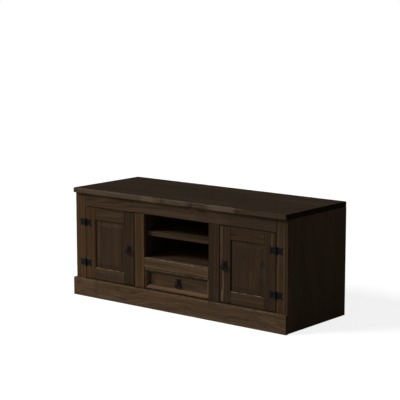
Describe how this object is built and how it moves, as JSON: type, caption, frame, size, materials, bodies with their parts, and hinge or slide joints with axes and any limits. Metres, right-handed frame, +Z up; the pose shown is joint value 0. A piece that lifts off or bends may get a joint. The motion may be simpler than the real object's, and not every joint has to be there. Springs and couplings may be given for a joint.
{
  "type": "media cabinet",
  "caption": "Low media cabinet in dark-stained pine: framed doors with raised panels, open shelved centre bay over a drawer, plinth, iron butterfly hinges and ring pulls.",
  "frame": {"origin": "on the floor, under the middle of the cabinet's overall length and depth", "axes": "+X to the right as one faces the doors, along the length; +Y from the front to the back; +Z up"},
  "size_m": [1.472, 0.546, 0.612],
  "materials": {
    "stained_pine": "dark brown stain under a thin wax, with the grain open",
    "plywood": "stained, matt",
    "drawer_pine": "planed, unstained",
    "black_iron": "blackened, matt",
    "zinc": "zinc plated"
  },
  "bodies": {
    "carcass": {"top_board": "stained_pine", "left_side_panel": "stained_pine", "right_side_panel": "stained_pine", "left_divider": "stained_pine", "right_divider": "stained_pine", "bottom_board": "stained_pine", "bay_floor": "stained_pine", "bay_shelf": "stained_pine", "left_cupboard_shelf": "stained_pine", "right_cupboard_shelf": "stained_pine", "back_panel": "plywood", "left_side_stile": "stained_pine", "right_side_stile": "stained_pine", "left_mid_stile": "stained_pine", "right_mid_stile": "stained_pine", "top_rail": "stained_pine", "centre_rail": "stained_pine", "bottom_rail": "stained_pine", "plinth_board": "stained_pine", "left_drawer_runner": "drawer_pine", "right_drawer_runner": "drawer_pine", "left_lower_frame_leaf": "black_iron", "left_upper_frame_leaf": "black_iron", "right_lower_frame_leaf": "black_iron", "right_upper_frame_leaf": "black_iron", "left_magnetic_catch": "zinc", "right_magnetic_catch": "zinc"},
    "left_door": {"left_door_hinge_stile": "stained_pine", "left_door_lock_stile": "stained_pine", "left_door_top_rail": "stained_pine", "left_door_bottom_rail": "stained_pine", "left_door_panel": "stained_pine", "left_lower_door_leaf": "black_iron", "left_upper_door_leaf": "black_iron", "left_strike_plate": "zinc", "left_door_pull_plate": "black_iron"},
    "right_door": {"right_door_hinge_stile": "stained_pine", "right_door_lock_stile": "stained_pine", "right_door_top_rail": "stained_pine", "right_door_bottom_rail": "stained_pine", "right_door_panel": "stained_pine", "right_lower_door_leaf": "black_iron", "right_upper_door_leaf": "black_iron", "right_strike_plate": "zinc", "right_door_pull_plate": "black_iron"},
    "drawer": {"drawer_front": "stained_pine", "drawer_top_moulding": "stained_pine", "drawer_bottom_moulding": "stained_pine", "drawer_left_moulding": "stained_pine", "drawer_right_moulding": "stained_pine", "drawer_left_side": "drawer_pine", "drawer_right_side": "drawer_pine", "drawer_back": "drawer_pine", "drawer_bottom": "plywood", "drawer_pull_plate": "black_iron"},
    "left_door_ring": {"left_door_pull_ring": "black_iron"},
    "right_door_ring": {"right_door_pull_ring": "black_iron"},
    "drawer_ring": {"drawer_pull_ring": "black_iron"}
  },
  "joints": [
    {"name": "left_door_hinge", "type": "hinge", "parent": "carcass", "child": "left_door", "pos_m": [-0.657, -0.2561, 0.3], "axis": [0, 0, -1], "range_deg": [0, 175]},
    {"name": "right_door_hinge", "type": "hinge", "parent": "carcass", "child": "right_door", "pos_m": [0.657, -0.2561, 0.3], "axis": [0, 0, 1], "range_deg": [0, 175]},
    {"name": "drawer_slide", "type": "slide", "parent": "carcass", "child": "drawer", "axis": [0, -1, 0], "range_m": [0, 0.3]},
    {"name": "left_door_ring_swing", "type": "hinge", "parent": "left_door", "child": "left_door_ring", "pos_m": [-0.332, -0.2601, 0.31], "axis": [-1, 0, 0], "range_deg": [0, 165]},
    {"name": "right_door_ring_swing", "type": "hinge", "parent": "right_door", "child": "right_door_ring", "pos_m": [0.332, -0.2601, 0.31], "axis": [-1, 0, 0], "range_deg": [0, 165]},
    {"name": "drawer_ring_swing", "type": "hinge", "parent": "drawer", "child": "drawer_ring", "pos_m": [0, -0.2353, 0.1625], "axis": [-1, 0, 0], "range_deg": [0, 165]}
  ]
}
